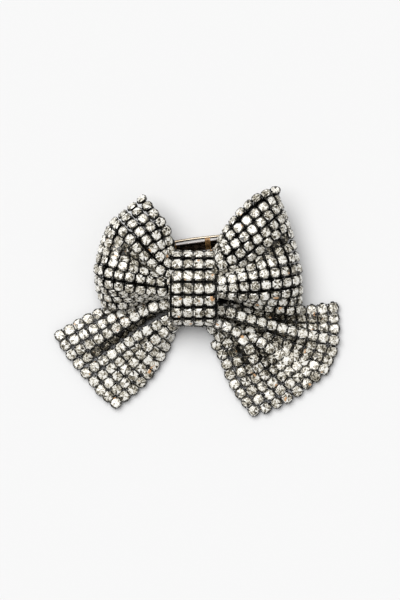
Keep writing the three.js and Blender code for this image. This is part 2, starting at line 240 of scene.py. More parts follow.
@dataclass(frozen=True)
class PlatedMetal:
    """Bright plated or bare metal with fine polishing lines and a few scuffs."""

    name: str
    bright: Colour
    dull: Colour
    low_roughness: float = 0.08
    high_roughness: float = 0.28
    lines_per_metre: float = 2600.0
    line_detail: float = 3.0
    line_stretch: float = 0.06
    line_height: float = 0.00002
    line_strength: float = 0.25
    cloud_scale: float = 300.0
    cloud_detail: float = 3.0
    dull_from: float = 0.35
    dull_full: float = 0.75

    def make(self) -> bpy.types.Material:
        """Builds the material.

        Returns:
            The metal's material.
        """
        nodes = Nodes(self.name)
        place = nodes.add("ShaderNodeTexCoord")
        stretch = nodes.add("ShaderNodeMapping")
        stretch.inputs["Scale"].default_value = (self.line_stretch, 1.0, 1.0)
        lines = nodes.add("ShaderNodeTexNoise", Scale=self.lines_per_metre, Detail=self.line_detail)
        nodes.join(place.outputs["Object"], stretch.inputs["Vector"])
        nodes.join(stretch.outputs["Vector"], lines.inputs["Vector"])
        clouds = nodes.object_noise(self.cloud_scale, self.cloud_detail)
        stops = [(self.dull_from, self.bright), (self.dull_full, self.dull)]
        ramp = nodes.ramp(clouds.outputs["Fac"], stops)
        nodes.join(ramp.outputs["Color"], nodes.shader.inputs["Base Color"])
        rough = nodes.add("ShaderNodeMapRange", To_Min=self.low_roughness, To_Max=self.high_roughness)
        nodes.join(lines.outputs["Fac"], rough.inputs["Value"])
        nodes.join(rough.outputs["Result"], nodes.shader.inputs["Roughness"])
        nodes.bump(lines.outputs["Fac"], self.line_height, self.line_strength)
        nodes.surface(Metallic=1.0)
        return nodes.material


@dataclass(frozen=True)
class WaxedThread:
    """Twisted black sewing thread."""

    name: str = "waxed_thread"
    dark: Colour = (0.010, 0.010, 0.012)
    light: Colour = (0.055, 0.052, 0.055)
    twist_scale: float = 900.0
    twist_uneven: float = 2.0
    twist_detail: float = 2.0
    twist_height: float = 0.00006
    twist_strength: float = 0.6
    light_from: float = 0.2
    light_full: float = 0.9

    def make(self) -> bpy.types.Material:
        """Builds the material.

        Returns:
            The thread's material.
        """
        nodes = Nodes(self.name)
        place = nodes.add("ShaderNodeTexCoord")
        twist = nodes.add("ShaderNodeTexWave", Scale=self.twist_scale, Detail=self.twist_detail)
        twist.inputs["Distortion"].default_value = self.twist_uneven
        twist.bands_direction = "DIAGONAL"
        nodes.join(place.outputs["Object"], twist.inputs["Vector"])
        stops = [(self.light_from, self.dark), (self.light_full, self.light)]
        ramp = nodes.ramp(twist.outputs["Fac"], stops)
        nodes.join(ramp.outputs["Color"], nodes.shader.inputs["Base Color"])
        nodes.bump(twist.outputs["Fac"], self.twist_height, self.twist_strength)
        nodes.surface(Roughness=0.62, Sheen_Weight=0.3, Sheen_Roughness=0.4)
        return nodes.material


@dataclass(frozen=True)
class WhitePaper:
    """The plain pale surface the brooch lies on."""

    name: str = "white_paper"
    shade: Colour = (0.85, 0.85, 0.85)

    def make(self) -> bpy.types.Material:
        """Builds the material.

        Returns:
            The floor's material.
        """
        nodes = Nodes(self.name)
        nodes.surface(Base_Color=(*self.shade, 1.0), Roughness=0.9, Specular_IOR_Level=0.1)
        return nodes.material


class Plating(Enum):
    """The dark platings of the claw cups, and the neck's cups drawn darker as painted shade."""

    CUPS = BlackNickel()
    CLAWS = BlackNickel("claw_tips", (0.03, 0.029, 0.026), (0.24, 0.23, 0.21))
    # painted shade: the neck's cups are drawn near black and without shine where they lie in shadow under
    # the bar
    NECK = BlackNickel("neck_cups_painted_shade", (0.003, 0.003, 0.003), (0.014, 0.013, 0.012), 0.0, (0.55, 0.8), 0.15)


class Metal(Enum):
    """The bright metals of the finding."""

    NICKEL = PlatedMetal("polished_nickel", (0.86, 0.80, 0.77), (0.62, 0.55, 0.50))
    # painted shade: the bar's face is drawn dark brown, standing in for its shadow and its mirror image
    # of the dark cups
    BRONZED = PlatedMetal("bar_face_painted_shade", (0.085, 0.060, 0.045), (0.028, 0.018, 0.012), 0.16, 0.36)
    # painted highlight: the bar's long edges are drawn near white
    WORN_EDGE = PlatedMetal("bar_edge_painted_highlight", (0.95, 0.90, 0.88), (0.80, 0.72, 0.68), 0.12, 0.30)
    STEEL = PlatedMetal("spring_steel", (0.50, 0.44, 0.35), (0.26, 0.20, 0.14), 0.14, 0.34)
    BRASS = PlatedMetal("bound_brass", (0.58, 0.36, 0.16), (0.26, 0.14, 0.06), 0.2, 0.45)


# ---------------------------------------------------------------------------------------
# Small helpers
# ---------------------------------------------------------------------------------------


def new_piece(
    name: str, bm: bmesh.types.BMesh, material: bpy.types.Material,
) -> bpy.types.Object:
    """Makes a finished piece from a bmesh.

    Args:
        name: the piece's name.
        bm: its geometry in metres, in the row frame. It is freed.
        material: its finish.

    Returns:
        The new object, linked to the scene.
    """
    mesh = bpy.data.meshes.new(name)
    bm.to_mesh(mesh)
    bm.free()
    mesh.materials.append(material)
    piece = bpy.data.objects.new(name, mesh)
    bpy.context.scene.collection.objects.link(piece)
    return piece


def unit(vectors: np.ndarray, least: float = 1e-9) -> np.ndarray:
    """Brings vectors to a length of 1.

    Args:
        vectors: the vectors, along the last axis.
        least: the length below which a vector isn't brought up.

    Returns:
        The unit vectors.
    """
    return vectors / np.maximum(np.linalg.norm(vectors, axis=-1, keepdims=True), least)


def spline_points(points: np.ndarray, per_span: int = 24) -> np.ndarray:
    """Draws a smooth curve through a few points.

    Args:
        points: the points, one row each.
        per_span: how many steps each span gets.

    Returns:
        The points along the curve.
    """
    ends = np.vstack([2 * points[0] - points[1], points, 2 * points[-1] - points[-2]])
    t = np.linspace(0.0, 1.0, per_span, endpoint=False)[:, None]
    spans = []
    for a, b, c, d in zip(ends[:-3], ends[1:-2], ends[2:-1], ends[3:]):
        bend = (2 * a - 5 * b + 4 * c - d) * t**2 + (3 * b - a - 3 * c + d) * t**3
        spans.append(b + 0.5 * ((c - a) * t + bend))
    return np.vstack([*spans, points[-1:]])


def along(curve: np.ndarray, places: np.ndarray) -> np.ndarray:
    """Finds points on a curve by their distance along it.

    Args:
        curve: points along the curve.
        places: distances from its start. Past either end it runs on straight.

    Returns:
        One point for each distance.
    """
    steps = np.linalg.norm(np.diff(curve, axis=0), axis=1)
    length = np.concatenate([[0.0], np.cumsum(steps)])
    found = np.stack([np.interp(places, length, curve[:, k]) for k in range(3)], axis=1)
    after = np.maximum(places - length[-1], 0.0)[:, None]
    before = np.maximum(-places, 0.0)[:, None]
    tail = (curve[-1] - curve[-4]) / np.linalg.norm(curve[-1] - curve[-4])
    head = (curve[0] - curve[3]) / np.linalg.norm(curve[0] - curve[3])
    return found + after * tail + before * head


# ---------------------------------------------------------------------------------------
# The stone and its cup
# ---------------------------------------------------------------------------------------


@dataclass
class ClawSetting:
    """One cut stone in its claw cup, seated at the origin with its face up. Millimetres.

    Fields that end in from, foot, margin, taper or drop are shares of the size they go with,
    stone_turn is in degrees, and squareness is how far the stone's corners are drawn out.
    """

    pitch: float = 3.42
    stone_sides: int = 8
    stone_turn: float = 22.5
    stone_radius: float = 1.80
    table_radius: float = 1.30
    table_from: float = 0.9
    squareness: float = 0.26
    crown: float = 0.42
    dome: float = 0.08
    pavilion: float = 0.8
    cup_sides: int = 12
    cup_radius: float = 1.80
    cup_foot: float = 0.9
    cup_depth: float = 0.95
    base_from: float = 0.9
    rim: float = 0.10
    hollow_margin: float = 0.42
    hollow_depth: float = 0.3
    claws: int = 4
    claw_place: float = 1.88
    claw_thick: float = 0.36
    claw_width: float = 0.42
    claw_taper: float = 0.62
    claw_reach: float = 0.42
    claw_rise: float = 0.42
    claw_root: float = 0.5
    link_width: float = 0.95
    link_thick: float = 0.5
    link_overlap: float = 0.7
    link_drop: float = 0.45

    def stone(self) -> bmesh.types.BMesh:
        """Cuts the cushion-shaped stone: a table of wedges, a crown of split facets and a pavilion.

        Returns:
            The stone's geometry.
        """
        bm = bmesh.new()
        flats_to_neighbours = Matrix.Rotation(math.radians(self.stone_turn), 4, "Z")
        bmesh.ops.create_cone(
            bm, cap_ends=True, segments=self.stone_sides, radius1=self.stone_radius,
            radius2=self.table_radius, depth=self.crown,
            matrix=Matrix.Translation((0, 0, self.crown / 2)) @ flats_to_neighbours,
        )
        for vert in bm.verts:
            angle = math.atan2(vert.co.y, vert.co.x)
            corner = (math.floor(angle / (math.pi / 2)) + 0.5) * math.pi / 2
            vert.co.rotate(Matrix.Rotation((corner - angle) * self.squareness, 3, "Z"))
        table = [f for f in bm.faces if f.calc_center_median().z > self.crown * self.table_from]
        under = [f for f in bm.faces if f.calc_center_median().z < self.crown * (1 - self.table_from)]
        crown = [f for f in bm.faces if f not in table and f not in under]
        peak = bmesh.ops.poke(bm, faces=table)["verts"]
        bmesh.ops.translate(bm, vec=(0, 0, self.dome), verts=peak)
        bmesh.ops.triangulate(bm, faces=crown)
        tip = bmesh.ops.poke(bm, faces=under)["verts"]
        bmesh.ops.translate(bm, vec=(0, 0, -self.pavilion), verts=tip)
        bmesh.ops.recalc_face_normals(bm, faces=bm.faces)
        bmesh.ops.scale(bm, vec=(MM, MM, MM), verts=bm.verts)
        return bm

    def claw(self, bm: bmesh.types.BMesh, angle: float) -> None:
        """Adds one claw that stands at the rim and bends over the stone.

        Args:
            bm: the cup that it joins.
            angle: where it stands round the cup, in radians.
        """
        height = self.claw_rise + self.claw_root
        before = set(bm.faces)
        made = bmesh.ops.create_cube(bm, size=1.0)["verts"]
        bmesh.ops.scale(bm, vec=(self.claw_thick, self.claw_width, height), verts=made)
        bmesh.ops.translate(bm, vec=(self.claw_place, 0, self.claw_rise - height / 2), verts=made)
        top = [v for v in made if v.co.z > 0]
        bmesh.ops.translate(bm, vec=(-self.claw_reach, 0, 0.0), verts=top)
        bmesh.ops.scale(bm, vec=(1.0, self.claw_taper, 1.0), verts=top)
        bmesh.ops.rotate(bm, matrix=Matrix.Rotation(angle, 3, "Z"), verts=made)
        for face in set(bm.faces) - before:
            face.material_index = 1

    def cup(self, right: bool, down: bool) -> bmesh.types.BMesh:
        """Forms the cup with its four claws and the links to its neighbours.

        Args:
            right: whether it links to the next cup along the row.
            down: whether it links to the cup in the next row.

        Returns:
            The cup's geometry.
        """
        bm = bmesh.new()
        bmesh.ops.create_cone(
            bm, cap_ends=True, segments=self.cup_sides, radius1=self.cup_radius * self.cup_foot,
            radius2=self.cup_radius, depth=self.cup_depth,
            matrix=Matrix.Translation((0, 0, self.rim - self.cup_depth / 2)),
        )
        low = self.rim - self.cup_depth * self.base_from
        base = [f for f in bm.faces if f.calc_center_median().z < low]
        margin = self.cup_radius * self.hollow_margin
        bmesh.ops.inset_region(bm, faces=base, thickness=margin, depth=-self.hollow_depth)
        for corner in range(self.claws):
            self.claw(bm, math.radians(45 + 90 * corner))
        for wanted, angle in ((right, 0.0), (down, math.pi / 2)):
            if wanted:
                made = bmesh.ops.create_cube(bm, size=1.0)["verts"]
                length = self.pitch - 2 * self.cup_radius + self.link_overlap
                size = (length, self.link_width, self.link_thick)
                bmesh.ops.scale(bm, vec=size, verts=made)
                place = (self.pitch / 2, 0, -self.cup_depth * self.link_drop)
                bmesh.ops.translate(bm, vec=place, verts=made)
                bmesh.ops.rotate(bm, matrix=Matrix.Rotation(angle, 3, "Z"), verts=made)
        bmesh.ops.scale(bm, vec=(MM, MM, MM), verts=bm.verts)
        return bm


# ---------------------------------------------------------------------------------------
# Mesh ribbons
# ---------------------------------------------------------------------------------------


@dataclass(frozen=True)
class Guide:
    """One drawn row of cups: [x, y, z] in millimetres from the knot outwards, and back."""

    row: float
    out: tuple[Point, ...]
    back: tuple[Point, ...] = ()
    lean: float = 0.0


@dataclass
class Net:
    """A net of cups: rows by places along each row, with which cups are set and which way they face.

    Attributes:
        name: the ribbon's name.
        places: each cup's place.
        shown: which cups are set.
        facing: 1 or -1, the side of the net that the stones are on.
        hold: how firmly the cups keep to their drawn places.
        size: the size of its cups against the setting's own.
        lean: how far each cup leans about its row, in degrees.
        fold: the place along the rows where the ribbon folds over.
        fold_lift: how far the cups at the fold turn up.
        own_weight: how much a cup's own facing counts against each neighbour's.
        curl: a row that rolls over, how far, and which way it then faces.
    """

    name: str
    places: np.ndarray
    shown: np.ndarray
    facing: float
    hold: float = 0.30
    size: float = 1.0
    lean: np.ndarray | None = None
    fold: int | None = None
    fold_lift: float = 0.8
    own_weight: float = 3.0
    curl: Curl | None = None

    def leaned(self, face: np.ndarray, out: np.ndarray) -> np.ndarray:
        """Turns the rows on a pleat's side about their own length.

        Args:
            face: which way each cup faces.
            out: each cup's direction along its row.

        Returns:
            The turned facings.
        """
        angle = np.radians(self.lean)[..., None]
        axis = unit(out) * self.facing
        return face * np.cos(angle) + np.cross(axis, face) * np.sin(angle)

    def normals(self) -> np.ndarray:
        """Works out which way each cup faces from its neighbours' places.

        Returns:
            One unit vector for each cup.
        """
        down = np.gradient(self.places, axis=0)
        out = np.gradient(self.places, axis=1)
        face = unit(np.cross(out, down) * self.facing)
        padded = np.pad(face, ((1, 1), (1, 1), (0, 0)), mode="edge")
        own = face * self.own_weight
        calm = unit(own + padded[:-2, 1:-1] + padded[2:, 1:-1] + padded[1:-1, :-2] + padded[1:-1, 2:])
        if self.lean is not None:
            calm = self.leaned(calm, out)
        if self.fold is not None:
            calm[:, self.fold] += (0.0, 0.0, self.fold_lift)
        if self.curl:
            row, share, way = self.curl
            calm[row] = unit(calm[row]) * (1 - share)
            calm[row] += np.array(way) * share
        return unit(calm)

    def depths(self, normals: np.ndarray) -> np.ndarray:
        """Measures how deep each cup lies between the rows beside it.

        Args:
            normals: which way each cup faces.

        Returns:
            The depths in millimetres, less than zero on a ridge.
        """
        rows = np.pad(self.places, ((2, 2), (0, 0), (0, 0)), mode="reflect", reflect_type="odd")
        beside = (rows[1:-3] + rows[3:-1] + rows[:-4] + rows[4:]) / 4
        return ((beside - self.places) * normals).sum(axis=2)


def net_from_guides(guides: tuple[Guide, ...], pitch: float, inward: int, outward: int) -> np.ndarray:
    """Spaces cups along drawn rows and fills in the rows between them.

    Args:
        guides: the drawn rows, from the upper selvage to the lower one.
        pitch: the distance between cups.
        inward: how many cups there are from a row's turning place to the knot.
        outward: how many there are beyond it, round the back.

    Returns:
        The cups' places, rows by places along a row.
    """
    drawn = []
    for guide in guides:
        points = np.array([*guide.out, *guide.back], float)
        curve = spline_points(points)
        turn = int(np.argmin(np.linalg.norm(curve - np.array(guide.out[-1]), axis=1)))
        steps = np.linalg.norm(np.diff(curve, axis=0), axis=1)
        start = float(steps[:turn].sum())
        drawn.append(along(curve, start + pitch * np.arange(-inward, outward + 1)))
    stack = np.array(drawn)
    rows = np.arange(0, int(guides[-1].row) + 1)
    known = [guide.row for guide in guides]
    filled = np.empty((len(rows), stack.shape[1], 3))
    for column in range(stack.shape[1]):
        for axis in range(3):
            filled[:, column, axis] = np.interp(rows, known, stack[:, column, axis])
    return filled


def leans(guides: tuple[Guide, ...], columns: int, fade_from: int, fade_to: int) -> np.ndarray:
    """Works out how far each cup leans about its row, in degrees.

    Args:
        guides: the drawn rows with their leans.
        columns: how many places there are along a row.
        fade_from: the place up to which a row leans fully.
        fade_to: the place from which it doesn't lean.

    Returns:
        The leans, rows by places along a row.
    """
    rows = np.arange(0, int(guides[-1].row) + 1)
    lean = np.interp(rows, [guide.row for guide in guides], [guide.lean for guide in guides])
    share = np.interp(np.arange(columns), [fade_from, fade_to], [1.0, 0.0])
    return lean[:, None] * share[None, :]


@dataclass
class Relaxer:
    """Lets the nets settle towards links of a real length and cups that keep clear of each other.

    It goes for a set number of rounds, so cups still overlap where a pleat is tight.

    Attributes:
        pitch: the distance between cups, in millimetres.
        rounds: how many times the cups are moved.
        slack: the range that the distance of neighbours along a row is drawn into, in pitches.
        pleat: the same for neighbours across the rows.
        two_apart: the same for cups two apart in a line.
        apart: the distance that cups which aren't tied are pushed out to, in millimetres.
        floor: the least height of a cup, in millimetres.
        hold_ways: how firmly a cup keeps to its drawn place, by axis.
        overshoot: how far past the wanted distance each move goes.
        search_every: how many rounds go by before close cups are looked for again.
        least: the smallest value that is divided by.
        nets: the nets that settle together.
    """

    pitch: float
    rounds: int = 260
    slack: tuple[float, float] = (0.95, 1.03)
    pleat: tuple[float, float] = (0.70, 1.08)
    two_apart: tuple[float, float] = (0.85, 2.2)
    apart: float = 2.3
    floor: float = 1.55
    hold_ways: Point = (1.0, 1.0, 0.6)
    overshoot: float = 1.4
    search_every: int = 3
    least: float = 1e-6
    nets: list[Net] = field(default_factory=list)

    def links(self) -> tuple[np.ndarray, np.ndarray, np.ndarray, np.ndarray, np.ndarray]:
        """Numbers the cups of every net and lists the pairs that are tied.

        Returns:
            The pairs along rows, the pairs across them, the pairs two apart in a line, which
            cups there are, and how firmly each is held to its drawn place.
        """
        near, across, far, start = [], [], [], 0
        for net in self.nets:
            rows, columns = net.places.shape[:2]
            index = start + np.arange(rows * columns).reshape(rows, columns)
            near += [np.stack([index[:, :-1], index[:, 1:]], -1).reshape(-1, 2)]
            across += [np.stack([index[:-1], index[1:]], -1).reshape(-1, 2)]
            far += [np.stack([index[:, :-2], index[:, 2:]], -1).reshape(-1, 2)]
            far += [np.stack([index[:-2], index[2:]], -1).reshape(-1, 2)]
            start += rows * columns
        shown = np.concatenate([net.shown.ravel() for net in self.nets])
        hold = np.concatenate([np.full(net.shown.size, net.hold) for net in self.nets])
        tied = [pairs[shown[pairs].all(1)] for pairs in map(np.vstack, (near, across, far))]
        return *tied, shown, hold

    def pull(
        self, places: np.ndarray, pairs: np.ndarray, limits: tuple[float, float], free: np.ndarray,
    ) -> np.ndarray:
        """Finds how far to move each cup so that pairs are between two distances apart.

        Args:
            places: every cup's place.
            pairs: the pairs to test.
            limits: the least and the greatest distance, in millimetres.
            free: 1 for a cup that may move, 0 for a fixed one.

        Returns:
            The move of each cup.
        """
        a, b = pairs[:, 0], pairs[:, 1]
        gap = places[b] - places[a]
        length = np.maximum(np.linalg.norm(gap, axis=1), self.least)
        error = length - np.clip(length, *limits)
        share = (error / length / np.maximum(free[a] + free[b], self.least))[:, None] * gap
        move = np.zeros_like(places)
        count = np.zeros(len(places))
        np.add.at(move, a, share * free[a][:, None])
        np.add.at(move, b, -share * free[b][:, None])
        np.add.at(count, a, (error != 0))
        np.add.at(count, b, (error != 0))
        return move / np.maximum(count, 1.0)[:, None] * self.overshoot

    def settle(self, fixed: np.ndarray) -> None:
        """Moves the cups of every net.

        Args:
            fixed: the places of cups that don't move, which the others keep clear of.
        """
        near, across, far, shown, hold = self.links()
        target = np.vstack([net.places.reshape(-1, 3) for net in self.nets])
        count = len(target)
        places = np.vstack([target, fixed])
        free = np.concatenate([shown.astype(float), np.zeros(len(fixed))])
        alive = np.concatenate([shown, np.ones(len(fixed), bool)])
        tied = np.zeros((len(places), len(places)), bool)
        for pairs in (near, across, far):
            tied[pairs[:, 0], pairs[:, 1]] = True
            tied[pairs[:, 1], pairs[:, 0]] = True
        allowed = np.triu(~tied, 1) & alive[:, None] & alive[None, :]
        allowed[count:, count:] = False
        ties = [
            (pairs, (low * self.pitch, high * self.pitch))
            for pairs, (low, high) in ((near, self.slack), (across, self.pleat), (far, self.two_apart))
        ]
        firm = hold[:, None] * np.array(self.hold_ways) * shown[:, None]
        for turn in range(self.rounds):
            places[:count] += (target - places[:count]) * firm
            for pairs, limits in ties:
                places += self.pull(places, pairs, limits, free)
            if turn % self.search_every == 0:
                square = (places**2).sum(1)
                distance = square[:, None] + square[None, :] - 2 * places @ places.T
                close = np.argwhere(allowed & (distance < self.apart**2))
            if len(close):
                places += self.pull(places, close, (self.apart, math.inf), free)
            places[:count, 2] = np.maximum(places[:count, 2], self.floor)
        moved = np.linalg.norm((places[:count] - target)[shown], axis=1)
        LOG.info("settled: moved %.2f mm on average, %.2f at most", moved.mean(), moved.max())
        gaps = np.linalg.norm(places[near[:, 0]] - places[near[:, 1]], axis=1)
        LOG.info("links: %s mm", np.percentile(gaps, [1, 10, 50, 90, 99]).round(2))
        start = 0
        for net in self.nets:
            size = net.shown.size
            net.places = places[start : start + size].reshape(net.places.shape)
            start += size


@dataclass
class Setter:
    """Sets stones and cups over a net and makes its two pieces.

    Attributes:
        setting: the stone and cup that are set.
        shift: how far the frame stands from the bow's own drawing, in millimetres.
        crystal: the stones' finish.
        metal: the cups' finish.
        claws: the claws' finish.
        tilt: how unevenly the cups tilt.
        spin: how unevenly they turn about their own axis, in radians.
        painted_pleat_shade: how much painted shade darkens a stone for each millimetre that it lies in a
            pleat.
        painted_shade_range: the least and greatest of that painted shade; below zero it is painted light
            on a ridge.
        steps: the painted reflection tones, from black to white, that a facet can have.
        table_shares: how often each tone comes on the table.
        crown_shares: how often each tone comes round it.
        stone_spread: how much the stones differ from one another in tone.
        facet_spread: how much the facets of one stone differ besides.
    """

    setting: ClawSetting
    shift: np.ndarray
    crystal: bpy.types.Material
    metal: bpy.types.Material
    claws: bpy.types.Material
    tilt: float = 0.06
    spin: float = 0.05
    painted_pleat_shade: float = 0.60
    painted_shade_range: tuple[float, float] = (-0.08, 0.50)
    steps: tuple[float, ...] = (0.08, 0.27, 0.47, 0.69, 0.92)
    table_shares: tuple[float, ...] = (0.07, 0.12, 0.22, 0.32, 0.27)
    crown_shares: tuple[float, ...] = (0.12, 0.18, 0.26, 0.28, 0.16)
    stone_spread: float = 0.05
    facet_spread: float = 0.04

    def frame_of(
        self, net: Net, row: int, column: int, normal: np.ndarray, rng: np.random.Generator,
    ) -> Matrix:
        """Finds one cup's place and turn in the row frame.

        Args:
            net: the net it belongs to.
            row: its row.
            column: its place along the row.
            normal: which way it faces.
            rng: the source of small differences.

        Returns:
            The matrix that takes the setting to its place, in metres.
        """
        last = net.places.shape[1] - 1
        ahead = net.places[row, min(column + 1, last)] - net.places[row, max(column - 1, 0)]
        facing = Vector(normal + rng.normal(0, self.tilt, 3)).normalized()
        across = facing.cross(Vector(ahead)).normalized()
        out = across.cross(facing)
        turn = Matrix((out, across, facing)).transposed().to_4x4()
        turn = turn @ Matrix.Rotation(rng.normal(0, self.spin), 4, "Z")
        place = Vector((net.places[row, column] + self.shift) * MM)
        return Matrix.Translation(place) @ turn

    @staticmethod
    def stamp(target: bmesh.types.BMesh, shape: bmesh.types.BMesh, place: Matrix) -> None:
        """Adds a turned copy of one shape to a piece.

        Args:
            target: the piece's geometry.
            shape: the shape, which is left as it is.
            place: where the copy goes and how it is turned.
        """
        copy = shape.copy()
        bmesh.ops.transform(copy, matrix=place, verts=copy.verts)
        mesh = bpy.data.meshes.new("stamp")
        copy.to_mesh(mesh)
        copy.free()
        target.from_mesh(mesh)
        bpy.data.meshes.remove(mesh)

    def tones(self, depths: np.ndarray, rng: np.random.Generator) -> np.ndarray:
        """Gives every facet of every stone its tone.

        Args:
            depths: how deep each stone lies in a pleat, in millimetres.
            rng: the source of the tones.

        Returns:
            The tones, stone by stone and face by face.
        """
        shape = self.setting.stone()
        shape.faces.ensure_lookup_table()
        centres = np.array([face.calc_center_median() for face in shape.faces]) / MM
        shape.free()
        count = len(depths)
        top = centres[:, 2] > self.setting.crown * self.setting.table_from
        tones = np.empty((count, len(centres)))
        # painted reflection: each facet gets a tone drawn at random from black to white, and the pavilion
        # the darkest
        for facets, shares in ((top, self.table_shares), (~top, self.crown_shares)):
            drawn = rng.choice(self.steps, p=shares, size=(count, int(facets.sum())))
            tones[:, facets] = drawn
        tones[:, centres[:, 2] < 0.0] = self.steps[0]
        # painted shade: stones deep in a pleat are drawn darker, and stones on a ridge a little lighter
        shade = np.clip(depths * self.painted_pleat_shade, *self.painted_shade_range)[:, None]
        by_stone = rng.normal(0, self.stone_spread, (count, 1))
        by_facet = rng.normal(0, self.facet_spread, tones.shape)
        return (tones - shade + by_stone + by_facet).ravel()

    def make(self, net: Net, seed: int) -> tuple[bpy.types.Object, bpy.types.Object]:
        """Makes the crystals and the cups of one net.

        Args:
            net: the settled net.
            seed: the seed of its small differences.

        Returns:
            The crystals' piece and the cups' piece.
        """
        rng = np.random.default_rng(seed)
        crystals, cups = bmesh.new(), bmesh.new()
        stone = self.setting.stone()
        kinds = {(r, d): self.setting.cup(r, d) for r in (False, True) for d in (False, True)}
        normals = net.normals()
        depths = net.depths(normals)
        rows, columns = net.shown.shape
        deep = []
        for row in range(rows):
            for column in range(columns):
                if not net.shown[row, column]:
                    continue
                place = self.frame_of(net, row, column, normals[row, column], rng)
                place = place @ Matrix.Scale(net.size, 4)
                right = column + 1 < columns and bool(net.shown[row, column + 1])
                down = row + 1 < rows and bool(net.shown[row + 1, column])
                self.stamp(crystals, stone, place)
                self.stamp(cups, kinds[right, down], place)
                deep.append(depths[row, column])
        for shape in (stone, *kinds.values()):
            shape.free()
        gems = new_piece(f"{net.name}_crystals", crystals, self.crystal)
        tone = gems.data.attributes.new("painted_facet_tone", "FLOAT", "FACE")
        tone.data.foreach_set("value", self.tones(np.array(deep), rng).astype(np.float32))
        metal = new_piece(f"{net.name}_cups", cups, self.metal)
        metal.data.materials.append(self.claws)
        LOG.info("%s: %d stones", net.name, len(deep))
        return gems, metal


# ---------------------------------------------------------------------------------------
# The bow's sub-assemblies
# ---------------------------------------------------------------------------------------


@dataclass
class Knot:
    """The short ribbon wrapped round the middle of the bow. Millimetres."""

    centre: Point = (-0.8, 3.75, 9.0)
    half_height: float = 11.45
    half_depth: float = 7.2
    columns: int = 4
    column_pitch: float = 3.38
    rows: int = 15
    size: float = 1.08
    gather_pitch: tuple[float, float] = (2.7, 2.5)
    gather_reach: int = 4
    gather_sink: float = 0.2
    gather_size: float = 0.84
    ring_steps: int = 720
    tuck: float = 1.2

    def net(self) -> Net:
        """Spaces the cups round the knot.

        Returns:
            The knot's net, one row for each turn of cups across it.
        """
        angle = np.linspace(0, 2 * np.pi, self.ring_steps + 1)
        y = self.centre[1] + self.half_height * np.cos(angle)
        z = self.centre[2] + self.half_depth * np.sin(angle)
        ring = np.stack([np.zeros_like(y), y, z], 1)
        steps = np.linalg.norm(np.diff(ring, axis=0), axis=1)
        step = steps.sum() / self.rows
        quarter = steps[: self.ring_steps // 4].sum()
        places = np.empty((self.rows, self.columns, 3))
        around = along(ring, (quarter + step * np.arange(self.rows)) % steps.sum())
        for column in range(self.columns):
            places[:, column] = around
            places[:, column, 0] = self.centre[0] + (column - (self.columns - 1) / 2) * self.column_pitch
        return Net("knot", places, np.ones((self.rows, self.columns), bool), -1.0, size=self.size)

    def gathers(self, shift: np.ndarray) -> list[Net]:
        """Packs the ribbons' own cups into both ends of the gathered neck.

        Args:
            shift: how far the frame stands from the bow's own drawing.

        Returns:
            One net for each end.
        """
        low, high = (np.array(corner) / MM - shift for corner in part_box("gathered_neck"))
        middle, half = (low + high) / 2, (high - low) / 2
        steps = np.arange(-self.gather_reach, self.gather_reach + 1)
        across, up = self.gather_pitch
        y, z = np.meshgrid(middle[1] + steps * across, middle[2] + steps * up)
        shown = ((y - middle[1]) / half[1]) ** 2 + ((z - middle[2]) / half[2]) ** 2 < 1.0
        nets = []
        for name, side in (("left_gather", -1.0), ("right_gather", 1.0)):
            x = np.full_like(y, middle[0] + side * (half[0] - self.gather_sink))
            nets.append(Net(name, np.stack([x, y, z], -1), shown, side, size=self.gather_size))
        return nets

    def leaves(self, places: np.ndarray, outermost: int) -> np.ndarray:
        """Says which of a ribbon's cups are set: those on its own side that aren't deep inside the knot.

        Args:
            places: the cups' places.
            outermost: the place along a row where the ribbon is farthest out.

        Returns:
            True for each cup that is set.
        """
        from_knot = places[..., 0] - self.centre[0]
        side = np.sign(from_knot[:, outermost].mean())
        return from_knot * side >= self.columns * self.column_pitch / 2 - self.tuck


@dataclass
class Loop:
    """One puffed loop: a ribbon that leaves the knot in front, folds over and comes back."""

    name: str
    guides: tuple[Guide, ...]
    facing: float
    inward: int = 9
    outward: int = 8
    curl: Curl | None = None
    size: float = 0.955

    def net(self, pitch: float, knot: Knot) -> Net:
        """Spaces the loop's cups.

        Args:
            pitch: the distance between cups.
            knot: the knot that hides its inner ends.

        Returns:
            The loop's net before it settles.
        """
        places = net_from_guides(self.guides, pitch, self.inward, self.outward)
        shown = knot.leaves(places, self.inward)
        lean = leans(self.guides, places.shape[1], self.inward - 1, self.inward + 1)
        net = Net(self.name, places, shown, self.facing, size=self.size, lean=lean)
        net.fold, net.curl = self.inward, self.curl
        return net


@dataclass
class Tail:
    """One flared tail: a ribbon pleated at the knot and cut square at its end."""

    name: str
    guides: tuple[Guide, ...]
    facing: float
    inward: int = 12
    fade: tuple[int, int] = (5, 10)
    size: float = 1.03

    def net(self, pitch: float, knot: Knot) -> Net:
        """Spaces the tail's cups.

        Args:
            pitch: the distance between cups.
            knot: the knot that hides its inner end.

        Returns:
            The tail's net before it settles.
        """
        places = net_from_guides(self.guides, pitch, self.inward, 0)
        shown = knot.leaves(places, self.inward)
        lean = leans(self.guides, places.shape[1], *self.fade)
        return Net(self.name, places, shown, self.facing, size=self.size, lean=lean)


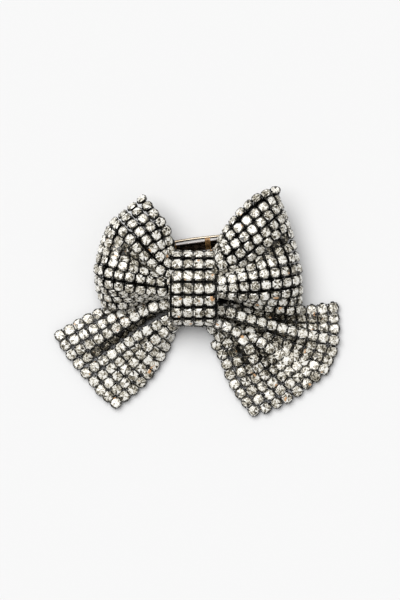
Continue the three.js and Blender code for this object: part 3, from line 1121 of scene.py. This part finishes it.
LEFT_LOOP = Loop(
    "left_loop",
    (
        Guide(0, ((-6.9, 12.6, 9.8), (-8.4, 18.0, 11.2), (-9.6, 23.2, 12.4), (-12.6, 27.2, 12.8),
                  (-16.9, 31.8, 10.2)),
              ((-12.6, 26.0, 7.8), (-9.0, 19.0, 8.2), (-7.0, 13.0, 8.4))),
        Guide(2, ((-6.9, 10.9, 12.2), (-10.6, 13.1, 13.8), (-15.0, 18.3, 15.2), (-20.0, 23.6, 14.8),
                  (-22.9, 27.1, 10.0)),
              ((-17.5, 21.4, 7.8), (-11.4, 15.0, 8.2), (-7.0, 11.6, 8.4))),
        Guide(3, ((-6.9, 7.8, 12.8), (-9.8, 8.3, 13.4), (-15.6, 13.3, 15.0), (-22.5, 20.9, 14.6),
                  (-25.9, 24.6, 9.8)),
              ((-19.0, 18.2, 7.6), (-12.0, 13.0, 8.0), (-7.0, 10.4, 8.2))),
        Guide(4.5, ((-6.9, 6.9, 10.8), (-11.0, 7.6, 11.2), (-19.8, 13.6, 12.2), (-25.6, 18.0, 12.8),
                    (-28.3, 20.4, 9.4)),
              ((-21.0, 15.2, 7.2), (-12.6, 10.6, 7.6), (-7.0, 8.8, 7.8))),
        Guide(7, ((-6.9, 6.3, 11.8), (-11.5, 7.4, 12.6), (-17.2, 9.7, 13.8), (-24.1, 11.4, 14.6),
                  (-30.4, 13.2, 9.4)),
              ((-22.0, 10.8, 6.6), (-13.0, 7.8, 6.8), (-7.0, 6.8, 7.2))),
        Guide(8, ((-6.9, 5.8, 13.2), (-11.6, 6.2, 14.2), (-18.1, 7.0, 15.6), (-26.6, 8.7, 14.4),
                  (-31.0, 9.9, 9.2)),
              ((-22.0, 8.2, 6.2), (-13.0, 6.2, 6.6), (-7.0, 5.8, 7.0))),
        Guide(9, ((-6.9, 2.4, 13.4), (-11.6, 2.6, 14.3), (-18.3, 3.3, 15.6), (-26.8, 4.6, 14.0),
                  (-31.0, 6.4, 9.0)),
              ((-22.0, 5.6, 5.8), (-13.0, 4.6, 6.4), (-7.0, 4.6, 6.8))),
        Guide(10.5, ((-6.9, 1.4, 11.0), (-12.0, 1.1, 11.6), (-18.0, 1.0, 12.2), (-25.0, 1.2, 11.8),
                     (-30.4, 2.8, 8.0)),
              ((-22.0, 2.2, 5.4), (-13.0, 2.6, 5.8), (-7.0, 3.2, 6.4))),
        Guide(12, ((-6.9, 1.1, 8.8), (-12.0, 0.6, 8.8), (-18.0, -0.5, 8.6), (-24.6, -1.9, 8.2),
                   (-28.9, -1.0, 6.2)),
              ((-21.0, -0.4, 5.0), (-13.0, 1.2, 5.4), (-7.0, 2.2, 6.0))),
    ),
    1.0,
)

RIGHT_LOOP = Loop(
    "right_loop",
    (
        Guide(0, ((5.2, 12.6, 9.8), (7.2, 18.6, 11.6), (10.9, 24.2, 12.8), (17.4, 31.0, 13.4),
                  (24.7, 34.4, 11.4)),
              ((17.4, 29.4, 8.6), (10.2, 21.6, 8.6), (5.4, 13.2, 8.6))),
        Guide(1, ((5.2, 11.9, 11.4), (9.1, 18.6, 13.6), (15.0, 24.2, 14.8), (21.6, 29.6, 14.0),
                  (25.4, 32.0, 10.6)),
              ((18.0, 27.2, 8.2), (10.6, 18.8, 8.4), (5.4, 12.4, 8.6))),
        Guide(2, ((5.2, 11.0, 12.6), (8.8, 15.4, 14.2), (13.9, 18.9, 15.2), (21.8, 25.8, 15.0),
                  (26.4, 29.6, 10.4)),
              ((19.0, 24.4, 8.0), (11.2, 17.0, 8.2), (5.4, 11.8, 8.4))),
        Guide(3, ((5.2, 9.8, 13.4), (10.3, 12.0, 14.6), (15.8, 16.4, 15.4), (23.9, 23.0, 14.8),
                  (27.6, 26.6, 10.2)),
              ((20.0, 21.4, 7.8), (12.0, 15.0, 8.0), (5.4, 11.0, 8.2))),
        Guide(4, ((5.2, 8.8, 12.6), (11.1, 9.6, 13.4), (17.4, 13.4, 14.0), (24.8, 20.3, 14.0),
                  (28.6, 23.6, 10.0)),
              ((20.4, 18.2, 7.6), (12.4, 13.2, 7.8), (5.4, 10.0, 8.0))),
        Guide(5, ((5.2, 7.6, 10.8), (10.0, 8.8, 11.2), (16.9, 12.2, 11.8), (24.7, 17.5, 12.9),
                  (29.5, 20.8, 9.9)),
              ((21.0, 15.8, 7.4), (12.8, 11.4, 7.6), (5.4, 9.0, 7.8))),
        Guide(7, ((5.2, 7.0, 12.0), (12.0, 8.6, 12.6), (18.4, 11.0, 13.8), (26.8, 12.6, 14.2),
                  (31.4, 13.6, 9.8)),
              ((22.0, 11.6, 6.8), (13.4, 8.6, 7.0), (5.4, 7.4, 7.4))),
        Guide(8, ((5.2, 6.2, 13.2), (10.0, 6.8, 14.2), (16.9, 7.8, 15.4), (26.6, 8.9, 14.8),
                  (32.2, 10.0, 9.6)),
              ((23.0, 8.6, 6.4), (13.6, 6.6, 6.8), (5.4, 6.2, 7.2))),
        Guide(9, ((5.2, 3.7, 13.6), (10.2, 3.9, 14.6), (17.3, 4.5, 15.6), (27.4, 5.5, 14.8),
                  (32.5, 6.6, 9.4)),
              ((23.0, 5.8, 6.0), (13.6, 4.8, 6.4), (5.4, 4.8, 7.0))),
        Guide(10, ((5.2, 2.2, 12.6), (10.0, 1.4, 13.2), (17.5, 0.9, 14.2), (27.0, 1.8, 13.8),
                   (32.6, 3.2, 9.0)),
              ((23.0, 2.8, 5.6), (13.6, 3.0, 6.0), (5.4, 3.6, 6.6))),
        Guide(12, ((5.2, 1.6, 9.4), (11.0, 0.6, 9.4), (18.0, -1.4, 9.8), (27.0, -3.2, 9.4),
                   (32.2, -2.8, 7.0)),
              ((23.0, -1.8, 5.2), (13.6, 0.4, 5.4), (5.4, 2.2, 6.2))),
    ),
    -1.0,
    curl=(0, 0.5, (-0.75, 0.65, 0.2)),
)

LEFT_TAIL = Tail(
    "left_tail",
    (
        Guide(0, ((-6.9, -1.4, 4.6), (-15.0, -0.6, 3.8), (-22.0, -1.4, 3.2), (-31.2, -4.4, 2.6),
                  (-42.8, -11.0, 1.8))),
        Guide(1, ((-6.9, -1.2, 6.6), (-15.0, -1.2, 6.2), (-22.0, -3.4, 5.2), (-31.2, -8.3, 3.4),
                  (-41.2, -14.0, 1.9))),
        Guide(2, ((-6.9, -1.3, 8.6), (-11.2, -1.4, 8.8), (-17.3, -3.6, 8.2), (-28.1, -10.6, 5.0),
                  (-39.3, -17.0, 2.0))),
        Guide(3, ((-6.9, -2.6, 5.6), (-12.8, -4.4, 5.2), (-18.6, -7.8, 4.4), (-27.6, -13.4, 3.0),
                  (-37.0, -19.9, 1.9)), lean=-50.0),
        Guide(4, ((-6.9, -5.2, 6.8), (-9.9, -6.7, 7.0), (-15.3, -9.5, 6.6), (-20.3, -12.5, 5.2),
                  (-34.6, -22.8, 1.9))),
        Guide(5, ((-6.9, -6.4, 4.6), (-11.5, -9.0, 4.4), (-16.5, -12.6, 4.2), (-21.0, -16.8, 3.4),
                  (-32.0, -25.6, 1.8))),
        Guide(6, ((-6.9, -7.4, 5.6), (-10.5, -10.4, 5.6), (-15.4, -14.6, 4.8), (-19.3, -19.2, 3.6),
                  (-30.0, -28.2, 1.8))),
        Guide(8, ((-6.9, -9.0, 3.0), (-8.6, -12.5, 2.8), (-10.8, -17.0, 2.5), (-17.2, -25.6, 2.0),
                  (-25.3, -32.2, 1.7))),
    ),
    1.0,
)

RIGHT_TAIL = Tail(
    "right_tail",
    (
        Guide(0, ((5.2, -1.2, 4.4), (14.0, -1.6, 3.8), (25.0, -3.0, 3.0), (34.0, -3.2, 2.4),
                  (43.2, -2.3, 1.8))),
        Guide(2, ((5.2, -2.2, 4.8), (12.0, -3.2, 4.4), (20.0, -5.4, 3.8), (32.0, -7.8, 2.6),
                  (43.6, -8.9, 1.8)), lean=35.0),
        Guide(3, ((5.2, -2.9, 8.2), (8.8, -3.3, 8.6), (18.1, -6.1, 7.8), (30.6, -9.7, 5.2),
                  (43.4, -12.4, 2.4))),
        Guide(4, ((5.2, -3.5, 4.8), (12.0, -5.0, 4.4), (19.0, -7.9, 4.0), (30.0, -12.0, 2.8),
                  (42.8, -16.1, 1.8)), lean=-40.0),
        Guide(6, ((5.2, -4.4, 3.4), (10.8, -6.4, 3.4), (18.4, -10.8, 3.4), (29.4, -17.0, 2.6),
                  (40.3, -21.7, 1.8))),
        Guide(9, ((5.2, -6.2, 3.6), (10.2, -7.4, 3.4), (14.8, -10.6, 3.2), (19.2, -15.8, 3.0),
                  (23.2, -20.4, 2.6), (32.2, -28.4, 1.8)), lean=38.0),
        Guide(10, ((5.2, -6.9, 7.2), (9.1, -7.9, 7.6), (12.0, -9.4, 7.4), (15.8, -13.6, 7.2),
                   (17.7, -17.6, 6.2), (20.2, -22.0, 4.0), (29.0, -30.5, 1.9))),
        Guide(11, ((5.0, -7.6, 3.8), (8.4, -9.2, 3.9), (11.6, -11.4, 3.7), (14.7, -15.2, 3.5),
                   (16.4, -19.4, 3.1), (17.9, -23.4, 2.6), (25.4, -32.3, 1.8)), lean=-8.0),
        Guide(12, ((4.8, -9.0, 4.4), (7.2, -11.4, 4.4), (10.6, -13.6, 4.1), (13.4, -17.8, 3.6),
                   (15.1, -23.7, 2.7), (21.5, -34.0, 1.7))),
        Guide(13, ((4.6, -10.6, 3.0), (5.8, -13.6, 2.9), (7.4, -17.0, 2.6), (9.4, -21.2, 2.4),
                   (12.2, -27.0, 2.0), (17.8, -34.8, 1.7))),
    ),
    -1.0,
    fade=(7, 11),
)


@dataclass
class Bow:
    """The four mesh ribbons and the knot, set with stones."""

    setting: ClawSetting = field(default_factory=ClawSetting)
    knot: Knot = field(default_factory=Knot)

    def shift(self) -> np.ndarray:
        """Finds how far the frame stands from the bow's own drawing.

        Returns:
            The shift in millimetres.
        """
        low, high = (np.array(corner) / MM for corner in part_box("knot_wrap"))
        return (low + high) / 2 - np.array(self.knot.centre)

    def build(self) -> None:
        """Settles the ribbons, sets the stones and stands the pieces in for their nodes."""
        pitch = self.setting.pitch
        nets = [LEFT_LOOP.net(pitch, self.knot), RIGHT_LOOP.net(pitch, self.knot)]
        nets += [LEFT_TAIL.net(pitch, self.knot), RIGHT_TAIL.net(pitch, self.knot)]
        knot = self.knot.net()
        Relaxer(pitch, nets=nets).settle(knot.places.reshape(-1, 3))
        crystal = FoiledCrystal().make()
        metal, claws = Plating.CUPS.value.make(), Plating.CLAWS.value.make()
        setter = Setter(self.setting, self.shift(), crystal, metal, claws)
        stands_for = {
            "left_loop": ("left_loop_front", "left_loop_back"),
            "right_loop": ("right_loop_front", "right_loop_back"),
            "left_tail": ("left_tail",),
            "right_tail": ("right_tail",),
            "knot": ("knot_wrap",),
        }
        for seed, net in enumerate([*nets, knot, *self.knot.gathers(self.shift())]):
            gems, cups = setter.make(net, seed)
            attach(gems, "bow")
            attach(cups, "bow")
            if net.name in stands_for:
                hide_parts(*stands_for[net.name])


@dataclass
class Finding:
    """The bar pin, its catch, and what ties and sews it to the bow, with their edges eased.

    Sizes are in millimetres, angles in degrees and the two ways are unit vectors.
    """

    weld: float = 0.002
    flat_angle: float = 1.0
    sharp_angle: float = 38.0
    plate_edge: float = 0.09
    thin_edge: float = 0.04
    bar_width_way: Point = (-0.0907, 0.6887, 0.7193)
    bar_length_way: Point = (0.9914, 0.1305, 0.0)
    wire_turns: int = 4
    wire_pitch: float = 0.43
    # how squarely a face must look across the bar to get the painted highlight
    highlight_edge_share: float = 0.6

    def refined(self, name: str, body: str, material: bpy.types.Material, edge: float) -> None:
        """Makes one finished piece from a frame node: merged, its edges eased and its rounds smooth.

        Args:
            name: the node's name.
            body: the body that it rides on.
            material: its finish.
            edge: how far its sharp edges are eased, or 0 for a piece without any.
        """
        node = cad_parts[name]
        bm = bmesh.new()
        bm.from_mesh(node.data)
        bmesh.ops.transform(bm, matrix=node.matrix_world, verts=bm.verts)
        bmesh.ops.remove_doubles(bm, verts=bm.verts, dist=self.weld * MM)
        flat = math.radians(self.flat_angle)
        bmesh.ops.dissolve_limit(bm, angle_limit=flat, verts=bm.verts, edges=bm.edges)
        sharp_angle = math.radians(self.sharp_angle)
        sharp = [e for e in bm.edges if e.is_manifold and e.calc_face_angle(0.0) > sharp_angle]
        if edge and sharp:
            bmesh.ops.bevel(
                bm, geom=sharp, offset=edge * MM, offset_type="OFFSET", segments=2, profile=0.5,
                affect="EDGES", material=-1, clamp_overlap=True,
            )
        if name == "binding_wire_right":
            self.wind(bm)
        for face in bm.faces:
            face.smooth = True
        for line in bm.edges:
            line.smooth = line.calc_face_angle(0.0) < sharp_angle
        piece = new_piece(f"{name}_finished", bm, material)
        LOG.info("%s: finished", name)
        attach(piece, body)
        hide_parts(name)

    def wind(self, bm: bmesh.types.BMesh) -> None:
        """Repeats one turn of a binding wire side by side along the bar.

        Args:
            bm: the one turn, which becomes all of them.
        """
        step = Vector(self.bar_length_way) * self.wire_pitch * MM
        turn = list(bm.verts) + list(bm.edges) + list(bm.faces)
        for count in range(1, self.wire_turns):
            made = bmesh.ops.duplicate(bm, geom=turn)["geom"]
            copied = [part for part in made if isinstance(part, bmesh.types.BMVert)]
            bmesh.ops.translate(bm, vec=step * count, verts=copied)
        bmesh.ops.translate(bm, vec=-step * (self.wire_turns - 1) / 2, verts=bm.verts)

    def paint_edge_highlights(self, bar: bpy.types.Object) -> None:
        """Gives the bar's two long edges their brighter metal, a painted highlight.

        Args:
            bar: the bar's finished piece.
        """
        bar.data.materials.append(Metal.WORN_EDGE.value.make())
        across = Vector(self.bar_width_way)
        for face in bar.data.polygons:
            if abs(face.normal.dot(across)) > self.highlight_edge_share:
                face.material_index = 1

    def build(self) -> None:
        """Makes every piece of the finding and the bow's own ties."""
        nickel = Metal.NICKEL.value.make()
        special = {"pin_bar": Metal.BRONZED.value.make(), "pin_stem": Metal.STEEL.value.make()}
        brass = Metal.BRASS.value.make()
        thread = WaxedThread().make()
        pieces = [("pin_bar", "bow", self.plate_edge), ("pin_joint", "bow", self.thin_edge)]
        pieces += [("joint_rivet", "bow", self.thin_edge), ("catch_housing", "bow", self.thin_edge)]
        pieces += [("pin_stem", "pin", 0.0), ("catch_rotor", "latch", self.thin_edge)]
        for name, body, edge in pieces:
            self.refined(name, body, special.get(name, nickel), edge)
        self.paint_edge_highlights(bpy.data.objects["pin_bar_finished"])
        for side in ("left", "right"):
            self.refined(f"binding_wire_{side}", "bow", brass, 0.0)
            self.refined(f"bar_stitch_{side}", "bow", thread, 0.0)
        for name in ("gathering_thread", "seam_stitch_1", "seam_stitch_2", "seam_stitch_3"):
            self.refined(name, "bow", thread, 0.0)
        self.refined("gathered_neck", "bow", Plating.NECK.value.make(), 0.0)


# ---------------------------------------------------------------------------------------
# The studio
# ---------------------------------------------------------------------------------------


@dataclass
class Studio:
    """A pale floor, soft light from above and a camera that looks straight down. Metres."""

    aim: tuple[float, float] = (0.00113, 0.00076)
    height: float = 0.9
    object_height: float = 0.009
    view_tall: float = 0.1875
    sensor: float = 36.0
    floor_size: float = 1.6
    world_light: float = 0.295
    key_power: float = 2.86
    key_from: Point = (-0.30, 0.40, 1.0)
    key_spread: float = 54.0

    def floor(self) -> None:
        """Lays the floor under the brooch."""
        bm = bmesh.new()
        bmesh.ops.create_grid(bm, x_segments=1, y_segments=1, size=self.floor_size / 2)
        mesh = bpy.data.meshes.new("floor")
        bm.to_mesh(mesh)
        bm.free()
        mesh.materials.append(WhitePaper().make())
        floor = bpy.data.objects.new("floor", mesh)
        bpy.context.scene.collection.objects.link(floor)

    def key(self) -> None:
        """Hangs the one wide soft light, high on the upper left."""
        data = bpy.data.lights.new("key", "SUN")
        data.energy = self.key_power
        data.angle = math.radians(self.key_spread)
        light = bpy.data.objects.new("key", data)
        light.location = self.key_from
        light.rotation_euler = (-Vector(self.key_from)).to_track_quat("-Z", "Y").to_euler()
        bpy.context.scene.collection.objects.link(light)

    def camera(self) -> None:
        """Sets the camera over the brooch."""
        data = bpy.data.cameras.new("camera")
        data.sensor_fit = "VERTICAL"
        data.sensor_height = self.sensor
        data.lens = self.sensor * (self.height - self.object_height) / self.view_tall
        camera = bpy.data.objects.new("camera", data)
        camera.location = (*self.aim, self.height)
        bpy.context.scene.collection.objects.link(camera)
        bpy.context.scene.camera = camera

    def build(self) -> None:
        """Makes the floor, lights, surroundings and camera."""
        scene = bpy.context.scene
        scene.view_settings.view_transform = "Standard"
        world = bpy.data.worlds.new("studio")
        world.use_nodes = True
        back = world.node_tree.nodes["Background"]
        back.inputs["Color"].default_value = (1.0, 1.0, 1.0, 1.0)
        back.inputs["Strength"].default_value = self.world_light
        scene.world = world
        self.floor()
        self.key()
        self.camera()


def main() -> None:
    """Builds the brooch and its studio in order."""
    logging.basicConfig(level=logging.INFO, format="%(name)s: %(message)s")
    Studio().build()
    Bow().build()
    Finding().build()


if __name__ == "__main__":
    main()
